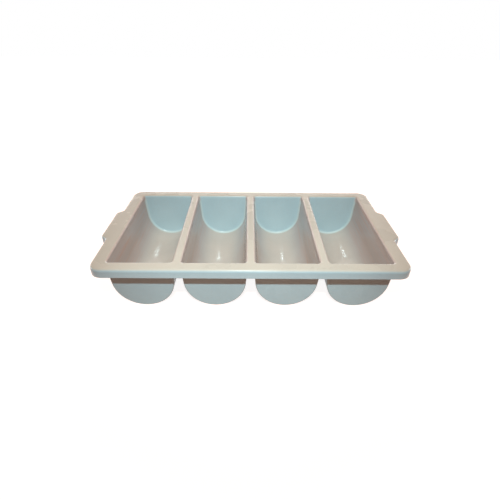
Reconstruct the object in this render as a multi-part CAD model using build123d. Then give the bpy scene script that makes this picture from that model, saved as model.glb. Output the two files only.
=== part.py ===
from build123d import *
import math
import os

# Cutlery tray. Four round-bottomed troughs hang side by side from a flat rim that ends in
# a turned-down skirt, and a grip lug bulges from the rim at each short end.
# The tray is one plastic moulding. It is kept here as the zones of that moulding, each a
# solid of its own, and neighbouring zones meet face to face without overlap.
# All lengths are in millimetres. +X runs along the row of troughs, +Y to the back, +Z up.
# The origin lies on the table, under the middle of the tray.

# Wall, one thickness throughout as a moulding has
WALL = 3.0

# Troughs, measured inside
TROUGH_NAMES = ["left", "centre_left", "centre_right", "right"]
FLOOR_RADIUS = 48.2
TROUGH_DEPTH = 88.4         # from the rim's top face to the lowest line of the floor
TROUGH_LENGTH = 248.0       # from front to back, at the rim's top face
SIDE_DRAFT = 4.9            # degrees by which each side wall leans outwards
END_DRAFT = 2.8             # degrees by which each end wall leans outwards
END_FILLET = 5.0            # inside, where an end wall rolls into the sides and the floor
OUTER_END_FILLET = 2.5      # the same corner, outside

# Rim, seen from above
DIVIDER_WIDTH = 14.3        # between two troughs, at the rim's top face
END_FLANGE = 23.7           # from the outer troughs to the rim's short edges
SIDE_FLANGE = 22.2          # from the troughs' end walls to the rim's long edges
RIM_CORNER_RADIUS = 20.0

# Rim, in section
SKIRT_HEIGHT = 16.0         # from the rim's top face to the skirt's lower edge
UNDER_ROUNDING = 1.9        # inside, where the flange turns down into the skirt
LIP_ROUNDING = 0.8          # on the skirt's lower outside edge
OPENING_ROUNDING = 4.5      # on top, where the flange turns down into a trough
COLLAR_HEIGHT = 2.0         # the part of a trough's wall, under the flange, kept with the rim

# Grip lugs
LUG_NAMES = ["left", "right"]
LUG_REACH = 11.2            # beyond the rim's short edge
LUG_TIP_LENGTH = 88.0       # along the outer edge, corner to corner before rounding
LUG_FLANK_RUN = 10.0        # how far each flank spreads on its way back to the rim
LUG_TIP_FILLET = 9.0
LUG_ROOT_FILLET = 10.0

# One overrun for every cut
OVERRUN = 5.0

# Sizes that follow
HEIGHT = TROUGH_DEPTH + WALL
FLANGE_UNDERSIDE = HEIGHT - WALL
SKIRT_BOTTOM = HEIGHT - SKIRT_HEIGHT
BEND_HEIGHT = WALL + FLOOR_RADIUS
EDGE_ROUNDING = UNDER_ROUNDING + WALL
COLLAR_ROUNDING = OPENING_ROUNDING - WALL
PARTING_HEIGHT = FLANGE_UNDERSIDE - COLLAR_HEIGHT


def half_width(grow, height):
    """Half the width of a trough at a height, for the inside wall grown by a thickness."""
    draft = math.radians(SIDE_DRAFT)
    return (FLOOR_RADIUS + grow) / math.cos(draft) + (height - BEND_HEIGHT) * math.tan(draft)


def half_length(grow, height):
    """Half the length of a trough at a height, for the inside wall grown by a thickness."""
    draft = math.radians(END_DRAFT)
    return TROUGH_LENGTH / 2 + grow / math.cos(draft) + (height - HEIGHT) * math.tan(draft)


OPENING_WIDTH = 2 * half_width(0, HEIGHT)
PITCH = OPENING_WIDTH + DIVIDER_WIDTH
CENTRES = [PITCH * (i - (len(TROUGH_NAMES) - 1) / 2) for i in range(len(TROUGH_NAMES))]
RIM_LENGTH = CENTRES[-1] - CENTRES[0] + OPENING_WIDTH + 2 * END_FLANGE
RIM_DEPTH = TROUGH_LENGTH + 2 * SIDE_FLANGE


def trough_form(grow, top, end_fillet):
    """The space inside one trough, centred on x = 0, with its wall grown by a thickness."""
    radius = FLOOR_RADIUS + grow
    draft = math.radians(SIDE_DRAFT)
    side_x = radius * math.cos(draft)
    side_z = BEND_HEIGHT - radius * math.sin(draft)
    top_x = half_width(grow, top)
    with BuildSketch(Plane.XZ) as section:
        with BuildLine():
            Line((-side_x, side_z), (-top_x, top))
            Line((-top_x, top), (top_x, top))
            Line((top_x, top), (side_x, side_z))
            ThreePointArc((side_x, side_z), (0, BEND_HEIGHT - radius), (-side_x, side_z))
        make_face()
    channel = extrude(section.sketch, RIM_DEPTH / 2, both=True)

    low = -OVERRUN
    with BuildSketch(Plane.YZ) as elevation:
        with BuildLine():
            Polyline(
                (-half_length(grow, low), low),
                (half_length(grow, low), low),
                (half_length(grow, top), top),
                (-half_length(grow, top), top),
                close=True,
            )
        make_face()
    form = channel & extrude(elevation.sketch, PITCH, both=True)

    ends = form.faces().filter_by(lambda face: abs(face.normal_at().Y) > math.cos(math.pi / 4))
    corner = ends.edges().filter_by(lambda edge: edge.center().Z < top - WALL / 2)
    return fillet(corner, end_fillet)


def trough(centre):
    """One trough: an even wall round the space inside, up to the rim's collar."""
    outside = trough_form(WALL, PARTING_HEIGHT, OUTER_END_FILLET)
    inside = trough_form(0, HEIGHT + OVERRUN, END_FILLET)
    return Pos(centre, 0, 0) * (outside - inside)


def rim_outline():
    """The rim seen from above: a rounded rectangle with a lug on each short edge."""
    outline = Sketch() + RectangleRounded(RIM_LENGTH, RIM_DEPTH, RIM_CORNER_RADIUS)
    root_x = RIM_LENGTH / 2
    tip_x = root_x + LUG_REACH
    tip_y = LUG_TIP_LENGTH / 2
    root_y = tip_y + LUG_FLANK_RUN
    lug = Polygon(
        (0, -root_y),
        (root_x, -root_y),
        (tip_x, -tip_y),
        (tip_x, tip_y),
        (root_x, root_y),
        (0, root_y),
        align=None,
    )
    outline += lug
    outline += mirror(lug, Plane.YZ)
    tips = outline.vertices().filter_by(lambda corner: abs(corner.X) > tip_x - LUG_REACH / 2)
    outline = fillet(tips, LUG_TIP_FILLET)
    roots = outline.vertices().filter_by(
        lambda corner: abs(abs(corner.X) - root_x) < LUG_REACH / 4
        and abs(abs(corner.Y) - root_y) < LUG_FLANK_RUN / 4
    )
    return fillet(roots, LUG_ROOT_FILLET)


def rounded_ceiling(form, outer_rounding, inner_rounding):
    """A form with the edges of its highest face rounded, the outer loop and then the inner."""
    form = fillet(form.faces().sort_by(Axis.Z)[-1].outer_wire().edges(), outer_rounding)
    ceiling = form.faces().sort_by(Axis.Z)[-1]
    return fillet(ceiling.edges() - ceiling.outer_wire().edges(), inner_rounding)


def whole_rim():
    """Flange, dividers, skirt, lugs and the troughs' collars, not yet parted into zones."""
    outline = rim_outline()
    rim = extrude(Pos(0, 0, SKIRT_BOTTOM) * outline, SKIRT_HEIGHT)
    rim = fillet(rim.faces().sort_by(Axis.Z)[0].edges(), LIP_ROUNDING)
    inside = trough_form(0, HEIGHT + OVERRUN, END_FILLET)
    for centre in CENTRES:
        rim -= Pos(centre, 0, 0) * inside
    rim = rounded_ceiling(rim, EDGE_ROUNDING, OPENING_ROUNDING)

    under_height = FLANGE_UNDERSIDE - SKIRT_BOTTOM + OVERRUN
    hollow = extrude(Pos(0, 0, SKIRT_BOTTOM - OVERRUN) * offset(outline, -WALL), under_height)
    outside = trough_form(WALL, HEIGHT, OUTER_END_FILLET)
    for centre in CENTRES:
        hollow -= Pos(centre, 0, 0) * outside
    rim -= rounded_ceiling(hollow, UNDER_ROUNDING, COLLAR_ROUNDING)

    below_collar = trough_form(WALL, PARTING_HEIGHT, OUTER_END_FILLET)
    for centre in CENTRES:
        rim -= Pos(centre, 0, 0) * below_collar
    return rim


def block(low_x, high_x, low_y, high_y):
    """An upright block past both faces of the rim, used to part it into zones."""
    size_z = SKIRT_HEIGHT + 2 * OVERRUN
    corner = Pos(low_x, low_y, SKIRT_BOTTOM - OVERRUN)
    return corner * Box(high_x - low_x, high_y - low_y, size_z, align=Align.MIN)


def rim_zones():
    """The rim parted where its members are straight, as a name and a solid for each zone."""
    rim = whole_rim()
    end_x = RIM_LENGTH / 2 + LUG_REACH + OVERRUN
    end_y = RIM_DEPTH / 2 + OVERRUN
    member_y = half_length(0, HEIGHT) - 2 * END_FILLET
    zones = {
        "rim_front": rim & block(-end_x, end_x, -end_y, -member_y),
        "rim_back": rim & block(-end_x, end_x, member_y, end_y),
    }
    for i, name in enumerate(["left", "centre", "right"]):
        zones[f"divider_{name}"] = rim & block(CENTRES[i], CENTRES[i + 1], -member_y, member_y)

    lug_x = RIM_LENGTH / 2 - END_FLANGE / 2
    lug_y = LUG_TIP_LENGTH / 2 + LUG_FLANK_RUN + LUG_ROOT_FILLET
    for name, side in zip(LUG_NAMES, [-1, 1]):
        member = block(CENTRES[-1], end_x, -member_y, member_y)
        lug = block(lug_x, end_x, -lug_y, lug_y)
        if side < 0:
            member = mirror(member, Plane.YZ)
            lug = mirror(lug, Plane.YZ)
        zones[f"rim_{name}"] = (rim & member) - lug
        zones[f"handle_{name}"] = rim & lug
    return zones


zones = rim_zones()
for name, centre in zip(TROUGH_NAMES, CENTRES):
    zones[f"trough_{name}"] = trough(centre)

os.makedirs("parts", exist_ok=True)
for name, shape in zones.items():
    export_step(shape, f"parts/{name}.step")
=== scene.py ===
import math

import bpy
from mathutils import Matrix, Vector


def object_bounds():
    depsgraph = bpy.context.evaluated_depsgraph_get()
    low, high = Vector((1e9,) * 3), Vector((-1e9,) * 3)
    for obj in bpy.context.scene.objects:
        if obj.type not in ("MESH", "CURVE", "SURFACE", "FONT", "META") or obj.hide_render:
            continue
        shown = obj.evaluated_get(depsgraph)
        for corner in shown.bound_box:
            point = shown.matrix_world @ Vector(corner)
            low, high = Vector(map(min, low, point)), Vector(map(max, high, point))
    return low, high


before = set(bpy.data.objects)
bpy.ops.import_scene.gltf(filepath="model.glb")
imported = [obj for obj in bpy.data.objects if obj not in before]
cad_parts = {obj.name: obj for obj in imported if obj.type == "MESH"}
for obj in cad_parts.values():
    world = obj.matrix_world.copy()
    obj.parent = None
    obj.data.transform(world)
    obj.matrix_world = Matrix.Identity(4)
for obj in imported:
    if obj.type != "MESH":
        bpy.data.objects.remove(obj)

CAD_LOW, CAD_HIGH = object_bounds()

WHITE = (1.0, 1.0, 1.0)

# Camera, in metres and degrees, with the lens and its sensor in millimetres.
# It was solved from the photograph's outlines.
CAMERA_PLACE = (-0.0049, -0.5873, 0.4179)
CAMERA_PITCH = 33.21
CAMERA_YAW = 0.41
CAMERA_ROLL = 0.56
CAMERA_LENS = 25.85
SENSOR_WIDTH = 36.0

# Lamps, in metres, degrees and watts
FLASH_PLACE = (-0.009, -0.664, 0.758)
FLASH_RADIUS = 0.016
FLASH_ANGLE = 48.0
FLASH_BLEND = 1.0
FLASH_POWER = 41.0
FLASH_COLOUR = (0.77, 0.96, 1.0)
OVERHEAD_PLACE = (0.0, 0.10, 1.30)
OVERHEAD_SIZE = (1.2, 0.9)
OVERHEAD_POWER = 4.2
OVERHEAD_COLOUR = (1.0, 0.72, 0.48)
BACK_PLACE = (0.0, 1.20, 0.30)
BACK_SIZE = (2.0, 0.3)
BACK_POWER = 9.0
SIDE_PLACE = (1.30, 0.40, 0.10)
SIDE_SIZE = (0.8, 0.12)
SIDE_POWER = 4.5
LOW_COLOUR = (0.90, 0.97, 1.0)      # of the back and side lamps

# The surround as it lights the tray. Cameras and mirrors see it white.
WORLD_COLOUR = (0.29, 0.175, 0.14)

# Floor, in metres. Its glow grows from FLOOR_GLOW to 1 between the two distances.
FLOOR_SIZE = 8.0
FLOOR_COLOUR = (0.56, 0.28, 0.185)
FLOOR_ROUGHNESS = 0.9
FLOOR_GLOW = 0.92
GLOW_NEAR = 0.30
GLOW_FAR = 0.60

# The row of troughs, in metres, and the heights between which a trough passes into the rim
TROUGH_PITCH = 0.117946
ROW_HALF_LENGTH = 2 * TROUGH_PITCH
RIM_LEVELS = (0.074, 0.088)

# Which way a face looks, from -1 to 1: where a kind of surface begins and where it is full
OUTSIDE_FACING = (-0.04, 0.04)      # in Z, where the outside goes from full to none
UPWARD_FACING = (0.3, 0.95)         # in Z
END_FACING = (0.3, 0.8)             # in Y, either way
CORNER_START = (0.02, 0.25)         # in Y, where a trough's wall rolls into an end's corner
CORNER_END = (0.80, 0.98)           # in Y, where the corner goes over into the end wall
SIDE_FACING = (0.08, 0.40)          # in X, times the distance to the trough's middle in pitches

# Textures: cells per metre along each axis, detail, and the range of values that is kept
MOTTLE = ((16.0, 16.0, 16.0), 4.0, (0.3, 0.7))
SPECKLE = ((240.0, 240.0, 240.0), 3.0, (0.3, 0.75))
SCUFFS = ((420.0, 9.0, 420.0), 4.0, (0.42, 0.72))
GRAIN_CELLS = (1400.0, 1400.0, 1400.0)
GRAIN_DETAIL = 2.0

# Colours of the plastic. The tints multiply it where it looks up, as painted warm light from
# above.
PLASTIC_COLOURS = ((0.371, 0.489, 0.525), (0.402, 0.523, 0.557))
RIM_TOP_LIGHT_TINT = (1.32, 0.93, 0.75)
TROUGH_TOP_LIGHT_TINT = (1.38, 0.967, 0.812)
SPECKLE_COLOUR = (0.40, 0.38, 0.35)
SPECKLE_SHARE = 0.10
# Painted shade, brown and patchy along the scuffs, on the troughs' side walls that face their
# middles
SIDE_WALL_SHADE_COLOUR = (0.542, 0.370, 0.310)
SIDE_WALL_SHADE_SHARE = 0.80
SIDE_WALL_SHADE_PATCHES = (0.84, 1.12)
# A painted highlight, light bluish, along the polished corners where a trough's walls roll into
# its end walls
CORNER_HIGHLIGHT_COLOUR = (0.49, 0.62, 0.62)
CORNER_HIGHLIGHT_SHARE = 0.65

# Gloss and relief of the plastic
TROUGH_ROUGHNESS = 0.12
END_WALL_ROUGHNESS = 0.078
RIM_ROUGHNESS = 0.24
ROUGHNESS_SPREAD = 0.10
TROUGH_GLOSS = 0.7
RIM_GLOSS = 0.2
BRUSHED_SHARE = 1.0
LENGTHWISE = (0.001, 1.0, 0.001)    # not quite Y, as a normal along it would leave no tangent
SCUFF_RELIEF = 0.5
POLISHED_RELIEF = 0.2
BUMP_STRENGTH = 0.15
BUMP_DISTANCE = 0.0001
PLASTIC_IOR = 1.46


def new_material(name):
    """A material with nodes, as itself, its node tree and its shader."""
    material = bpy.data.materials.new(name)
    material.use_nodes = True
    tree = material.node_tree
    return material, tree, tree.nodes["Principled BSDF"]


def add_node(tree, kind, **values):
    """A new shader node with some of its inputs set by name."""
    node = tree.nodes.new(kind)
    for name, value in values.items():
        node.inputs[name.replace("_", " ")].default_value = value
    return node


def worked(tree, operation, *values):
    """The result of an operation on values that are each a socket or a number."""
    node = tree.nodes.new("ShaderNodeMath")
    node.operation = operation
    for socket, value in zip(node.inputs, values):
        if isinstance(value, (int, float)):
            socket.default_value = value
        else:
            tree.links.new(value, socket)
    return node.outputs[0]


def vector_worked(tree, operation, vector, numbers):
    """The result of an operation on a vector or colour socket and three numbers."""
    node = tree.nodes.new("ShaderNodeVectorMath")
    node.operation = operation
    tree.links.new(vector, node.inputs[0])
    node.inputs[1].default_value = numbers
    return node.outputs[0]


def separated(tree, vector):
    """The X, Y and Z of a vector socket, by name."""
    node = tree.nodes.new("ShaderNodeSeparateXYZ")
    tree.links.new(vector, node.inputs["Vector"])
    return node.outputs


def eased(tree, value, low, high, to_low=0.0, to_high=1.0):
    """A value carried smoothly from one range to another and held at its ends."""
    node = add_node(
        tree, "ShaderNodeMapRange", From_Min=low, From_Max=high, To_Min=to_low, To_Max=to_high
    )
    node.interpolation_type = "SMOOTHSTEP"
    tree.links.new(value, node.inputs["Value"])
    return node.outputs["Result"]


def between(tree, share, at_none, at_full):
    """A value that passes smoothly from one number to another as a share grows from 0 to 1."""
    return eased(tree, share, 0.0, 1.0, at_none, at_full)


def mixed(tree, share, first, second):
    """Two colours mixed, where each is a socket or three numbers."""
    node = tree.nodes.new("ShaderNodeMix")
    node.data_type = "RGBA"
    tree.links.new(share, node.inputs["Factor"])
    for name, colour in (("A", first), ("B", second)):
        if isinstance(colour, tuple):
            node.inputs[name].default_value = (*colour, 1)
        else:
            tree.links.new(colour, node.inputs[name])
    return node.outputs["Result"]


def noise(tree, place, cells, detail):
    """Noise with so many cells per metre along each axis."""
    scaled = vector_worked(tree, "MULTIPLY", place, cells)
    node = add_node(tree, "ShaderNodeTexNoise", Scale=1.0, Detail=detail)
    tree.links.new(scaled, node.inputs["Vector"])
    return node.outputs["Fac"]


def patches(tree, place, cells, detail, kept):
    """Noise of which one range is stretched to run from 0 to 1."""
    return eased(tree, noise(tree, place, cells, detail), *kept)


def seen_directly(tree):
    """A value of 1 where a camera, mirror or glass ray meets the surface, and else 0."""
    path = tree.nodes.new("ShaderNodeLightPath")
    total = path.outputs["Is Camera Ray"]
    for kind in ("Is Glossy Ray", "Is Transmission Ray"):
        total = worked(tree, "MAXIMUM", total, path.outputs[kind])
    return total


def surface_shares(tree, place, normal):
    """How much each kind of surface applies at a point, by where it is and how it faces."""
    at = separated(tree, place)
    facing = separated(tree, normal)
    rim = eased(tree, at["Z"], *RIM_LEVELS)
    outside = eased(tree, facing["Z"], *OUTSIDE_FACING, 1.0, 0.0)

    # Positive where a face is turned to the middle of the trough that it belongs to
    within_pitch = worked(tree, "FRACT", worked(tree, "DIVIDE", at["X"], TROUGH_PITCH))
    from_middle = worked(tree, "SUBTRACT", 0.5, within_pitch)
    inward = eased(tree, worked(tree, "MULTIPLY", facing["X"], from_middle), *SIDE_FACING)
    in_row = worked(tree, "LESS_THAN", worked(tree, "ABSOLUTE", at["X"]), ROW_HALF_LENGTH)

    endways = worked(tree, "ABSOLUTE", facing["Y"])
    past_start = eased(tree, endways, *CORNER_START)
    before_end = eased(tree, endways, *CORNER_END, 1.0, 0.0)
    return {
        "rim": rim,
        "unpolished": worked(tree, "MAXIMUM", rim, outside),
        "side_wall": worked(tree, "MULTIPLY", in_row, inward),
        "end_wall": eased(tree, endways, *END_FACING),
        "corner": worked(tree, "MULTIPLY", past_start, before_end),
        "upward": eased(tree, facing["Z"], *UPWARD_FACING),
    }


def plastic_colour(tree, shares, mottle, speckle, scuffs):
    """Grey plastic, with painted warm light where it looks up, painted shade on the side walls
    and a painted highlight in the end corners.
    """
    colour = mixed(tree, mottle, *PLASTIC_COLOURS)
    colour = mixed(tree, worked(tree, "MULTIPLY", speckle, SPECKLE_SHARE), colour, SPECKLE_COLOUR)
    # Painted warm light from above: the colour multiplied by a tint on faces that look up
    trough_top_lit = vector_worked(tree, "MULTIPLY", colour, TROUGH_TOP_LIGHT_TINT)
    rim_top_lit = vector_worked(tree, "MULTIPLY", colour, RIM_TOP_LIGHT_TINT)
    painted_top_light_colour = mixed(tree, shares["rim"], trough_top_lit, rim_top_lit)
    colour = mixed(tree, shares["upward"], colour, painted_top_light_colour)

    # Painted shade on the troughs' side walls, patchy along the scuffs
    patchy = between(tree, scuffs, *SIDE_WALL_SHADE_PATCHES)
    side_shade = worked(tree, "MULTIPLY", shares["side_wall"], patchy)
    colour = mixed(tree, worked(tree, "MULTIPLY", side_shade, SIDE_WALL_SHADE_SHARE), colour, SIDE_WALL_SHADE_COLOUR)
    # Painted highlight along the troughs' end corners, none on the matt rim or outside
    corner_highlight = between(tree, shares["unpolished"], CORNER_HIGHLIGHT_SHARE, 0.0)
    corner_highlight = worked(tree, "MULTIPLY", shares["corner"], corner_highlight)
    return mixed(tree, corner_highlight, colour, CORNER_HIGHLIGHT_COLOUR)


def plastic_roughness(tree, shares, mottle):
    """Smoothest on the end walls, smooth in the troughs, and rougher and uneven elsewhere."""
    inside = between(tree, shares["end_wall"], TROUGH_ROUGHNESS, END_WALL_ROUGHNESS)
    uneven = worked(tree, "MULTIPLY", mottle, ROUGHNESS_SPREAD)
    more = worked(tree, "ADD", uneven, RIM_ROUGHNESS - TROUGH_ROUGHNESS)
    return worked(tree, "ADD", inside, worked(tree, "MULTIPLY", shares["unpolished"], more))


def plastic_relief(tree, shares, grain, scuffs):
    """A normal with fine grain and scuffs, both shallower where the plastic is polished."""
    relief = worked(tree, "ADD", grain, worked(tree, "MULTIPLY", scuffs, SCUFF_RELIEF))
    depth = between(tree, shares["unpolished"], POLISHED_RELIEF, 1.0)
    bump = add_node(tree, "ShaderNodeBump", Strength=BUMP_STRENGTH, Distance=BUMP_DISTANCE)
    tree.links.new(worked(tree, "MULTIPLY", relief, depth), bump.inputs["Height"])
    return bump.outputs["Normal"]


def moulded_plastic():
    """Light grey plastic, matt on the rim and outside and polished by use in the troughs."""
    material, tree, shader = new_material("moulded_plastic")
    place = tree.nodes.new("ShaderNodeTexCoord").outputs["Object"]
    normal = tree.nodes.new("ShaderNodeNewGeometry").outputs["Normal"]
    shares = surface_shares(tree, place, normal)
    mottle = patches(tree, place, *MOTTLE)
    speckle = patches(tree, place, *SPECKLE)
    scuffs = patches(tree, place, *SCUFFS)
    grain = noise(tree, place, GRAIN_CELLS, GRAIN_DETAIL)

    # Highlights spread across the troughs, but not on the end walls
    unbrushed = worked(tree, "MAXIMUM", shares["unpolished"], shares["end_wall"])
    inputs = {
        "Base Color": plastic_colour(tree, shares, mottle, speckle, scuffs),
        "Roughness": plastic_roughness(tree, shares, mottle),
        "Specular IOR Level": between(tree, shares["unpolished"], TROUGH_GLOSS, RIM_GLOSS),
        "Anisotropic": between(tree, unbrushed, BRUSHED_SHARE, 0.0),
        "Tangent": vector_worked(tree, "CROSS_PRODUCT", normal, LENGTHWISE),
        "Normal": plastic_relief(tree, shares, grain, scuffs),
    }
    for name, socket in inputs.items():
        tree.links.new(socket, shader.inputs[name])
    shader.inputs["IOR"].default_value = PLASTIC_IOR
    return material


def make_floor():
    """A pale floor that looks white to the camera and keeps the tray's shadow."""
    bpy.ops.mesh.primitive_plane_add(size=FLOOR_SIZE)
    floor = bpy.context.object
    floor.name = "floor"
    material, tree, shader = new_material("floor")
    shader.inputs["Base Color"].default_value = (*FLOOR_COLOUR, 1)
    shader.inputs["Roughness"].default_value = FLOOR_ROUGHNESS
    shader.inputs["Emission Color"].default_value = (*WHITE, 1)
    away = tree.nodes.new("ShaderNodeVectorMath")
    away.operation = "LENGTH"
    tree.links.new(tree.nodes.new("ShaderNodeTexCoord").outputs["Object"], away.inputs[0])
    glow = eased(tree, away.outputs["Value"], GLOW_NEAR, GLOW_FAR, FLOOR_GLOW, 1.0)
    seen = worked(tree, "MULTIPLY", seen_directly(tree), glow)
    tree.links.new(seen, shader.inputs["Emission Strength"])
    floor.data.materials.append(material)


def add_lamp(name, kind, place, target, power, colour):
    """A lamp of a kind at a place, facing a target."""
    lamp = bpy.data.lights.new(name, kind)
    lamp.energy = power
    lamp.color = colour
    holder = bpy.data.objects.new(name, lamp)
    holder.location = place
    holder.rotation_mode = "QUATERNION"
    holder.rotation_quaternion = (Vector(target) - Vector(place)).to_track_quat("-Z", "Y")
    bpy.context.scene.collection.objects.link(holder)
    return lamp


def soft_lamp(name, place, target, size, power, colour):
    """A rectangular lamp that lights evenly."""
    lamp = add_lamp(name, "AREA", place, target, power, colour)
    lamp.shape = "RECTANGLE"
    lamp.size, lamp.size_y = size


def make_lamps():
    """A small cool lamp by the camera, a warm one overhead, and low ones behind and beside."""
    middle = (CAD_LOW + CAD_HIGH) / 2
    flash = add_lamp("flash", "SPOT", FLASH_PLACE, middle, FLASH_POWER, FLASH_COLOUR)
    flash.shadow_soft_size = FLASH_RADIUS
    flash.spot_size = math.radians(FLASH_ANGLE)
    flash.spot_blend = FLASH_BLEND
    soft_lamp("overhead", OVERHEAD_PLACE, middle, OVERHEAD_SIZE, OVERHEAD_POWER, OVERHEAD_COLOUR)
    soft_lamp("back", BACK_PLACE, middle, BACK_SIZE, BACK_POWER, LOW_COLOUR)
    x, y, z = SIDE_PLACE
    soft_lamp("left", (-x, y, z), middle, SIDE_SIZE, SIDE_POWER, LOW_COLOUR)
    soft_lamp("right", (x, y, z), middle, SIDE_SIZE, SIDE_POWER, LOW_COLOUR)


def make_world():
    """A dim warm surround that cameras and mirrors see as white."""
    world = bpy.data.worlds.new("surround")
    world.use_nodes = True
    tree = world.node_tree
    tint = mixed(tree, seen_directly(tree), WORLD_COLOUR, WHITE)
    tree.links.new(tint, tree.nodes["Background"].inputs["Color"])
    bpy.context.scene.world = world


def make_camera():
    """The camera where the photograph was taken from."""
    pitch, yaw, roll = (math.radians(a) for a in (CAMERA_PITCH, CAMERA_YAW, CAMERA_ROLL))
    upright = Matrix.Rotation(math.pi / 2 - pitch, 4, "X")
    camera_data = bpy.data.cameras.new("camera")
    camera_data.sensor_width = SENSOR_WIDTH
    camera_data.lens = CAMERA_LENS
    camera = bpy.data.objects.new("camera", camera_data)
    turned = Matrix.Rotation(-yaw, 4, "Z") @ upright @ Matrix.Rotation(roll, 4, "Z")
    camera.matrix_world = Matrix.Translation(CAMERA_PLACE) @ turned
    bpy.context.scene.collection.objects.link(camera)
    bpy.context.scene.camera = camera


plastic = moulded_plastic()
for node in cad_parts.values():
    node.data.materials.clear()
    node.data.materials.append(plastic)

make_floor()
make_lamps()
make_world()
make_camera()
bpy.context.scene.view_settings.view_transform = "Standard"
